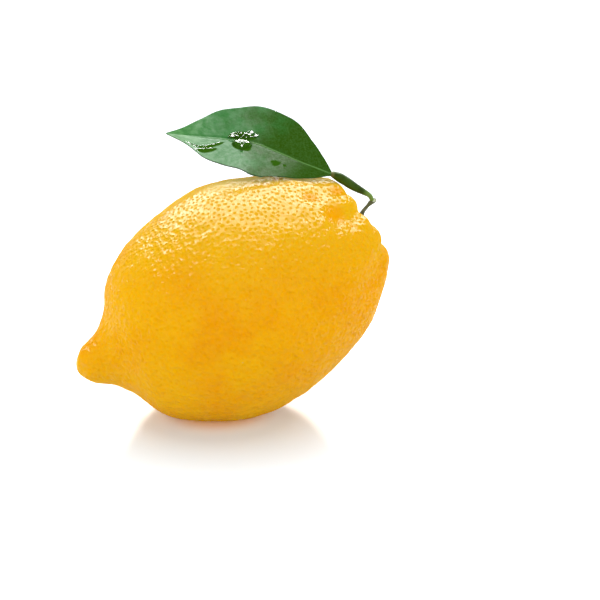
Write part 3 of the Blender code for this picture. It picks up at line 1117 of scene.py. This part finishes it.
@dataclass(frozen=True)
class LeafFinish:
    """Waxy citrus leaf: deep green above with a pale bloom, partly painted sheen, and paler below.

    Its spans are shares of the length, places across or values of the streaks.
    """

    deep: Colour = (0.023, 0.07, 0.0015)
    green: Colour = (0.026, 0.15, 0.028)
    green_drift: float = 0.2
    green_shares: Span = (0.4, 0.78)
    pale: Colour = (0.14, 0.34, 0.12)
    pale_streaks: Span = (0.2, 0.8)
    tip_tone_and_sheen: Span = (0.68, 0.98)
    pale_grain: float = 0.12
    vein: Tint = ((0.11, 0.24, 0.06), 0.8)
    soaked: Tint = ((0.03, 0.1, 0.005), 1.0)
    # A dark line along the near edge: painted shade
    painted_edge_shade: Tint = ((0.012, 0.05, 0.008), 1.0)
    edge_shade_places: Span = (-0.962, -0.98)
    under: Tint = ((0.12, 0.22, 0.07), 0.85)
    slow: Grain = (6 * MM, 4.0)
    quick: Grain = (1.1 * MM, 3.0)
    fine: Grain = (0.45 * MM, 2.0)
    streak_lean: float = 0.06
    streak_width: float = 0.04
    streak_length: float = 0.3
    streak_grain: Grain = (1.0, 3.0)
    bump: float = 0.012 * MM
    roughness: Span = (0.3, 0.42)
    wax_roughness: float = 0.22
    wax_grain: Span = (0.72, 1.18)
    near_wax: float = 0.36
    near_start: Span = (0.12, 0.34)
    near_rise: Span = (0.4, 0.62)
    near_inner: float = 0.45
    near_streaks: Span = (0.8, 1.05)
    far_wax: float = 0.41
    far_start: Span = (0.38, 0.6)
    far_end: Span = (0.95, 0.75)
    far_streaks: Span = (0.3, 1.0)
    midrib_blend: Span = (0.03, -0.03)

    def material(self) -> Material:
        """Build the blade's material."""
        material, graph = new_material("leaf_blade")
        position = graph.position()
        share = graph.mark("share")
        across = graph.mark("across")
        wet = graph.mark("wet")
        slow = graph.group(MOTTLE, position, *self.slow)
        streak = self.streaks(graph, share, across)
        drift = graph.maths("ADD", share, graph.times(slow, self.green_drift))
        # The tip's pale streaks are partly the leaf's own tone and partly painted sheen
        tip = graph.times(graph.ease(share, *self.tip_tone_and_sheen), graph.span(streak, *self.pale_streaks))
        colour = graph.tint(
            graph.mix(graph.ease(drift, *self.green_shares), self.deep, self.green),
            (tip, (self.pale, 1.0)),
            (graph.mark("vein"), self.vein),
            (graph.group(MOTTLE, position, *self.fine), (self.pale, self.pale_grain)),
            (wet, self.soaked),
            # Painted shade: a dark line along the near edge
            (graph.ease(across, *self.edge_shade_places), self.painted_edge_shade),
            (graph.mark("underside"), self.under),
        )
        quick = graph.group(MOTTLE, position, *self.quick)
        wax = graph.times(
            self.bloom(graph, share, across, streak),
            graph.span(quick, *self.wax_grain),
            graph.span(wet, 1.0, 0.0),
        )
        normal = graph.bump(streak, self.bump)
        graph.shade(
            {
                "Base Color": colour,
                "Roughness": graph.span(slow, *self.roughness),
                "Normal": normal,
                "Specular IOR Level": 0.0,
                "Coat Weight": wax,
                "Coat Roughness": self.wax_roughness,
                "Coat Normal": normal,
            }
        )
        return material

    def streaks(self, graph: Graph, share: Socket, across: Socket) -> Socket:
        """Give fine streaks that lean across the blade as its side veins do."""
        lean = graph.times(graph.maths("ABSOLUTE", across), self.streak_lean)
        row = graph.maths("DIVIDE", graph.maths("SUBTRACT", share, lean), self.streak_width)
        column = graph.maths("DIVIDE", across, self.streak_length)
        place = graph.add("ShaderNodeCombineXYZ", {0: row, 1: column}).outputs[0]
        return graph.ease(graph.noise(place, *self.streak_grain), *MOTTLE_LEVELS)

    def bloom(self, graph: Graph, share: Socket, across: Socket, streak: Socket) -> Socket:
        """Give how much wax shows: even on the near half and streaky on the far half.

        Args:
            graph: The material's nodes.
            share: The share of the length.
            across: The place across, below 0 on the near half.
            streak: The streaks across the blade.

        Returns:
            The coat's weight.
        """
        side = graph.ease(across, *self.midrib_blend)
        near = graph.times(
            graph.ease(share, *self.near_start),
            graph.span(graph.ease(share, *self.near_rise), self.near_inner, 1.0),
            graph.span(streak, *self.near_streaks),
            self.near_wax,
            side,
        )
        far = graph.times(
            graph.ease(share, *self.far_start),
            graph.ease(share, *self.far_end),
            graph.span(streak, *self.far_streaks),
            self.far_wax,
            graph.span(side, 1.0, 0.0),
        )
        return graph.maths("ADD", near, far)


@dataclass
class LeafBlade:
    """The one leaf, laid out on a fine grid with its veins pressed in."""

    form: BladeForm
    finish: LeafFinish
    films: dict[str, Pool] = field(
        default_factory=lambda: {
            "wet_streak_upper": Pool((0.87, -0.7), (0.665, -0.14), 0.55, phase=1.0),
            "wet_streak_lower": Pool((0.845, -0.82), (0.712, -0.43), 0.8, phase=3.0),
        }
    )
    soaked: tuple[Pool, ...] = (
        Pool((0.62, -0.16), (0.505, -0.12), 2.6),
        Pool((0.64, 0.12), (0.49, 0.16), 1.3),
        Pool((0.35, -0.46), (0.29, -0.37), 1.15, phase=5.0, unevenness=0.16),
        Pool((0.272, -0.45), (0.258, -0.42), 0.7, phase=2.0, unevenness=0.16),
    )
    rows: int = 230
    columns: int = 120
    crowding: float = 1.35
    thickness: float = 0.3
    vein_pairs: int = 9
    first_vein: float = 0.03
    vein_lean: float = 0.17
    vein_width: float = 0.2
    vein_curve: float = 1.15
    vein_depth: float = 0.012
    veins_below: float = 0.12
    quilt: float = 0.01
    midrib_width: float = 0.19
    midrib_groove: float = 0.14
    midrib_below: float = 0.55
    trough_width: float = 0.75
    edge_start: float = 0.995
    edge_thickness: float = 0.12

    def build(self) -> Piece:
        """Build the blade and dress it."""
        bpy.ops.mesh.primitive_grid_add(
            x_subdivisions=self.rows, y_subdivisions=self.columns, size=2.0, location=(0, 0, 0)
        )
        piece = bpy.context.object
        piece.name = "leaf"
        flat = read_points(piece)
        share = np.clip((flat[:, 0] + 1.0) / 2.0, 0.0, 1.0)
        across = np.sign(flat[:, 1]) * np.abs(flat[:, 1]) ** self.crowding
        relief = self.relief(share, across)
        write_points(piece, self.form.places(share, across, relief + self.thickness) * MM)
        if sum(face.normal.z for face in piece.data.polygons) < 0.0:
            with editing(piece):
                bpy.ops.mesh.flip_normals()
        apply_modifier(piece, "SOLIDIFY", thickness=self.thickness * MM, offset=-1.0)
        self.raise_veins_below(piece, share, across, relief)
        return finish_piece(piece, self.finish.material(), "leaf_blade")

    def vein_phase(self, share: Array, across: Array) -> Array:
        """Count the side veins up to places: a whole number is on a vein."""
        start = share - self.vein_lean * np.abs(across) ** self.vein_curve - self.first_vein
        return start / (1.0 - self.first_vein) * self.vein_pairs

    def vein_marks(self, share: Array, across: Array) -> tuple[Array, Array]:
        """Give how strongly the midrib and the side veins show at places."""
        reach = np.abs(across) * self.form.half_width(share, Side.FAR)
        midrib = hump(reach, self.midrib_width) * ease(share, 1.02, 0.85)
        phase = self.vein_phase(share, across)
        pitch = (1.0 - self.first_vein) / self.vein_pairs * self.form.length()
        fade = ease(np.abs(across), 1.0, 0.75) * ease(share, 0.0, 0.1) * ease(share, 1.0, 0.9)
        return midrib, hump((phase - np.rint(phase)) * pitch, self.vein_width) * fade

    def relief(self, share: Array, across: Array) -> Array:
        """Give how far the upper face lies above the plain form, in millimetres."""
        midrib, veins = self.vein_marks(share, across)
        quilt = -np.cos(math.tau * self.vein_phase(share, across))
        quilt *= ease(np.abs(across), 0.0, 0.35) * ease(np.abs(across), 1.0, 0.7)
        trough = hump(np.abs(across) * self.form.length() / 4.0, self.trough_width)
        groove = self.midrib_groove * (trough - 0.8 * midrib) * ease(share, 1.0, 0.8)
        return self.quilt * quilt - self.vein_depth * veins - groove

    def raise_veins_below(self, piece: Piece, share: Array, across: Array, relief: Array) -> None:
        """Raise the veins under the blade and store the marks for its material.

        Args:
            piece: The blade with its thickness, upper face first.
            share: The upper points' shares of the length.
            across: The upper points' places across.
            relief: The upper points' relief.
        """
        midrib, veins = self.vein_marks(share, across)
        taper = 1.0 - 0.75 * share
        reach = np.abs(across) * self.form.half_width(share, Side.FAR)
        ridge = self.midrib_below * taper * hump(reach, 0.6 * taper + 0.1)
        drop = ridge * ease(share, 1.0, 0.85) + self.veins_below * veins
        edge = np.abs(across) > self.edge_start
        lift = np.where(edge, relief + self.edge_thickness, -drop)
        points = read_points(piece)
        points[len(share) :] = self.form.places(share, across, lift) * MM
        write_points(piece, points)
        wet = np.zeros(len(share))
        for pool in (*self.films.values(), *self.soaked):
            wet = np.maximum(wet, pool.cover(self.form, share, across))
        marks = {
            "vein": np.tile(np.maximum(midrib * ease(share, 0.9, 0.4), 0.1 * veins), 2),
            "across": np.tile(across, 2),
            "wet": np.concatenate([wet, np.zeros(len(share))]),
            "share": np.tile(share, 2),
            "underside": np.repeat([0.0, 1.0], len(share)),
        }
        for name, values in marks.items():
            write_marks(piece, name, values)


@dataclass(frozen=True)
class WaterFinish:
    """Clear water."""

    roughness: float = 0.02
    bending: float = 1.333

    def material(self) -> Material:
        """Build the water's material."""
        material, graph = new_material("water")
        graph.shade(
            {
                "Base Color": WHITE,
                "Roughness": self.roughness,
                "IOR": self.bending,
                "Transmission Weight": 1.0,
                "Coat Weight": 1.0,
                "Coat Roughness": self.roughness,
            }
        )
        return material


@dataclass
class Water:
    """The water on the blade: domed drops, and raised rims round the wet films."""

    blade: LeafBlade
    finish: WaterFinish
    drops: dict[str, tuple[Pool, ...]] = field(
        default_factory=lambda: {
            "water_drop": (
                Pool((0.615, -0.13), (0.505, -0.1), 2.05, 1.35, 0.04, 2.0),
                Pool((0.575, -0.27), (0.545, -0.27), 1.25, 1.0, 0.0, 2.0, 0.0),
            ),
            "water_splash": (
                Pool((0.645, 0.05), (0.6, 0.1), 0.6, 0.45, 0.3, 0.4),
                Pool((0.62, 0.14), (0.49, 0.16), 1.5, 0.45, 0.55, 1.7, 0.15),
                Pool((0.54, 0.25), (0.5, 0.25), 0.7, 0.3, 0.4, 0.7, 0.15),
            ),
            "water_bead": (Pool((0.449, 0.955), (0.436, 0.955), 0.35, 0.5),),
        }
    )
    segments: int = 96
    rings: int = 48
    sunk: float = 0.1
    steepness: float = 1.3
    rim_width: float = 0.1
    rim_height: float = 0.07
    rim_side: float = -2.36
    rim_segments: int = 12
    ripples: Span = (7.0, 5.5)
    cross_ripples: Span = (11.0, 4.0)
    cross_share: float = 0.6
    smoothing_rounds: int = 3
    blend_cell: float = 0.1 * MM

    def build(self) -> list[Piece]:
        """Build every body of water and dress it."""
        pieces = [self.build_drop(name, pools) for name, pools in self.drops.items()]
        pieces += [self.build_rim(name, pool) for name, pool in self.blade.films.items()]
        material = self.finish.material()
        for piece in pieces:
            with editing(piece):
                bpy.ops.mesh.normals_make_consistent(inside=False)
            dress(piece, material)
        return pieces

    def build_drop(self, name: str, pools: tuple[Pool, ...]) -> Piece:
        """Flatten a ball into each pool and blend them into one skin."""
        made = []
        for pool in pools:
            bpy.ops.mesh.primitive_uv_sphere_add(
                segments=self.segments, ring_count=self.rings, radius=1.0, location=(0, 0, 0)
            )
            made.append(bpy.context.object)
            ball = read_points(made[-1])
            self.lay(made[-1], pool, ball[:, :2], self.dome(pool, ball))
        piece = made[0]
        take_up(piece)
        for other in made[1:]:
            other.select_set(True)
        if len(made) > 1:
            bpy.ops.object.join()
            apply_modifier(piece, "REMESH", mode="VOXEL", voxel_size=self.blend_cell)
            apply_modifier(piece, "SMOOTH", factor=0.5, iterations=self.smoothing_rounds)
        piece.name = name
        return piece

    def dome(self, pool: Pool, ball: Array) -> Array:
        """Give a drop's heights from the points of a ball."""
        reach = pool.half_width * ball[:, :2]
        ahead, beside = (reach * self.ripples).T
        waves = np.sin(ahead + pool.phase) * np.sin(beside - pool.phase)
        waves += self.cross_share * np.sin(reach @ self.cross_ripples)
        top = pool.height * (1.0 + pool.ripple * waves) * np.abs(ball[:, 2]) ** self.steepness
        return np.where(ball[:, 2] > 0.0, top, -self.sunk * np.abs(ball[:, 2]))

    def build_rim(self, name: str, pool: Pool) -> Piece:
        """Lay the rim of a wet film as a flattened ring that stands up on one side."""
        bpy.ops.mesh.primitive_torus_add(
            major_segments=self.segments,
            minor_segments=self.rim_segments,
            major_radius=1.0,
            minor_radius=0.5,
            location=(0, 0, 0),
        )
        piece = bpy.context.object
        piece.name = name
        ring = read_points(piece)
        angle = np.arctan2(ring[:, 1], ring[:, 0])
        out = (np.hypot(ring[:, 0], ring[:, 1]) - 1.0) * 2.0
        level = 1.0 + out * self.rim_width / pool.half_width
        place = np.stack([np.cos(angle) * level, np.sin(angle) * level], axis=1)
        swell = self.rim_height * np.cos(angle - self.rim_side)
        height = np.where(ring[:, 2] > 0.0, swell, self.sunk) * ring[:, 2] * 2.0
        height += np.minimum(swell, 0.0)
        self.lay(piece, pool, place, height)
        return piece

    def lay(self, piece: Piece, pool: Pool, place: Array, height: Array) -> None:
        """Lay a mesh's points over a pool at their heights above the blade."""
        share, across = pool.spread(self.blade.form, place)
        lift = height + self.blade.relief(share, across) + self.blade.thickness
        write_points(piece, self.blade.form.places(share, across, lift) * MM)


@dataclass
class Studio:
    """A light tent: plain white floor, soft light all round, a softbox and the camera.

    A turn is the span of directions, or of metres on the floor, over which one
    shade gives way to the next. The camera's numbers and the target are in
    millimetres, the other sizes in metres.
    """

    floor_size: float = 4.0
    floor_tint: Colour = (0.82, 0.93, 1.0)
    floor_shine: Colour = (1.0, 0.45, 0.1)
    floor_roughness: float = 0.25
    floor_turn: Span = (-0.06, 0.02)
    glow: float = 0.35
    glow_radii: Span = (0.02, 0.075)
    bounce: float = 0.3
    bounce_radii: Span = (0.022, 0.01)
    bounce_tint: Colour = (1.0, 0.3, 0.0)
    horizon_light: float = 2.0
    zenith_light: float = 1.05
    zenith_turn: Span = (0.1, 0.9)
    front_light: float = 1.5
    front_turn: Span = (-0.4, -0.85)
    dark_front: float = 0.03
    bright_back: float = 0.7
    back_turn: Span = (0.35, 0.75)
    overhead_light: float = 0.6
    overhead_turn: Span = (0.7, 0.99)
    target: Point = (20.25, -10.44, 32.59)
    azimuth_deg: float = -15.0
    elevation_deg: float = 20.5
    distance: float = 520.0
    lens: float = 120.0
    sensor: float = 36.0
    softbox_reach: float = 0.62
    softbox_lean_deg: float = 27.0
    softbox_shift: float = -0.06
    softbox_size: Span = (0.95, 1.3)
    softbox_power: float = 44.0
    softbox_fade: Span = (0.0, 0.65)

    def build(self) -> None:
        """Build the floor, the lights, the white surroundings and the camera."""
        bpy.context.scene.view_settings.view_transform = "Standard"
        self.build_floor()
        self.build_surroundings()
        self.hang_softbox()
        self.build_camera()

    def away(self) -> Vector:
        """Give the level direction from the camera to what is behind the lemon."""
        azimuth = math.radians(self.azimuth_deg)
        return Vector((-math.sin(azimuth), math.cos(azimuth), 0.0))

    def build_floor(self) -> None:
        """Lay the glossy white floor, which brightens away from the lemon."""
        bpy.ops.mesh.primitive_plane_add(size=self.floor_size, location=(0.0, 0.0, 0.0))
        floor = bpy.context.object
        floor.name = "floor"
        material, graph = new_material("white_floor")
        path = graph.add("ShaderNodeLightPath").outputs
        place = graph.position()
        distance = graph.measure("LENGTH", place)
        # Painted bounce light: close to the lemon the floor glows orange to the camera
        bounce = graph.ease(distance, *self.bounce_radii)
        glow = graph.times(graph.ease(distance, *self.glow_radii), self.glow)
        glow = graph.maths("ADD", glow, graph.times(bounce, self.bounce))
        behind = graph.measure("DOT_PRODUCT", place, tuple(self.away()))
        back = graph.ease(behind, *self.floor_turn)
        mirrored = graph.mix(back, (self.dark_front,) * 3, self.floor_tint)
        graph.shade(
            {
                "Base Color": graph.mix(path["Is Glossy Ray"], self.floor_tint, mirrored),
                "Roughness": self.floor_roughness,
                "Specular Tint": self.floor_shine,
                "Emission Color": graph.mix(bounce, WHITE, self.bounce_tint),
                "Emission Strength": graph.times(glow, path["Is Camera Ray"]),
            }
        )
        floor.data.materials.append(material)

    def build_surroundings(self) -> None:
        """Make the room white to the eye, and dark in reflections of its front."""
        world = bpy.data.worlds.new("white_room")
        world.use_nodes = True
        bpy.context.scene.world = world
        graph = Graph(world.node_tree)
        path = graph.add("ShaderNodeLightPath").outputs
        way = graph.add("ShaderNodeTexCoord").outputs["Generated"]
        height = graph.part(way, Z)
        behind = graph.measure("DOT_PRODUCT", way, tuple(self.away()))
        wall = graph.span(graph.ease(behind, *self.back_turn), self.dark_front, self.bright_back)
        overhead = graph.times(graph.ease(height, *self.overhead_turn), self.overhead_light)
        mirrored = graph.maths("ADD", wall, overhead)
        rise = graph.ease(height, *self.zenith_turn)
        tent = graph.span(rise, self.horizon_light, self.zenith_light)
        tent = graph.mix(graph.ease(behind, *self.front_turn), tent, (self.front_light,) * 3)
        clear = graph.maths("SUBTRACT", 1.0, path["Is Transmission Ray"])
        light = graph.mix(graph.times(path["Is Glossy Ray"], clear), tent, mirrored)
        light = graph.mix(path["Is Camera Ray"], light, WHITE)
        graph.fill(world.node_tree.nodes["Background"], {"Color": light})

    def hang_softbox(self) -> None:
        """Hang the softbox that the glossy rind and leaf mirror, above and behind."""
        light = bpy.data.lights.new("softbox", "AREA")
        light.shape = "RECTANGLE"
        light.size, light.size_y = self.softbox_size
        light.energy = self.softbox_power
        light.use_nodes = True
        graph = Graph(light.node_tree)
        place = graph.add("ShaderNodeNewGeometry").outputs["Parametric"]
        strength = graph.ease(graph.part(place, Y), *self.softbox_fade)
        graph.fill(light.node_tree.nodes["Emission"], {"Strength": strength})
        lamp = bpy.data.objects.new("softbox", light)
        lean = math.radians(self.softbox_lean_deg)
        facing = self.away() * math.sin(lean) + Vector((0.0, 0.0, math.cos(lean)))
        across = self.away().cross(Vector((0.0, 0.0, 1.0)))
        turn = Matrix((across, facing.cross(across), facing)).transposed()
        lamp.rotation_euler = turn.to_euler()
        middle = Vector(self.target) * MM + facing * self.softbox_reach
        lamp.location = middle + across * self.softbox_shift
        lamp.visible_diffuse = False
        lamp.visible_transmission = False
        bpy.context.scene.collection.objects.link(lamp)

    def build_camera(self) -> None:
        """Set the camera at the photograph's viewing angle."""
        elevation = math.radians(self.elevation_deg)
        back = Vector((0.0, 0.0, math.sin(elevation))) - self.away() * math.cos(elevation)
        data = bpy.data.cameras.new("camera")
        data.lens = self.lens
        data.sensor_width = self.sensor
        camera = bpy.data.objects.new("camera", data)
        camera.location = (Vector(self.target) + back * self.distance) * MM
        camera.rotation_euler = back.to_track_quat("Z", "Y").to_euler()
        bpy.context.scene.collection.objects.link(camera)
        bpy.context.scene.camera = camera


def main() -> None:
    """Build the studio and every piece of the lemon in order."""
    logging.basicConfig(level=logging.INFO, format="%(message)s")
    Studio().build()
    build_mottle_group()
    build_speck_group()
    blade = LeafBlade(BladeForm(), LeafFinish())
    makers = (Rind(RindFinish()), Calyx(CalyxFinish()), Twig(BarkFinish()), LeafStalk(StalkFinish()))
    pieces = [maker.build() for maker in (*makers, blade)]
    pieces += Water(blade, WaterFinish()).build()
    for piece in pieces:
        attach(piece, "root")
        LOG.info("%s: %d faces", piece.name, len(piece.data.polygons))


if __name__ == "__main__":
    main()
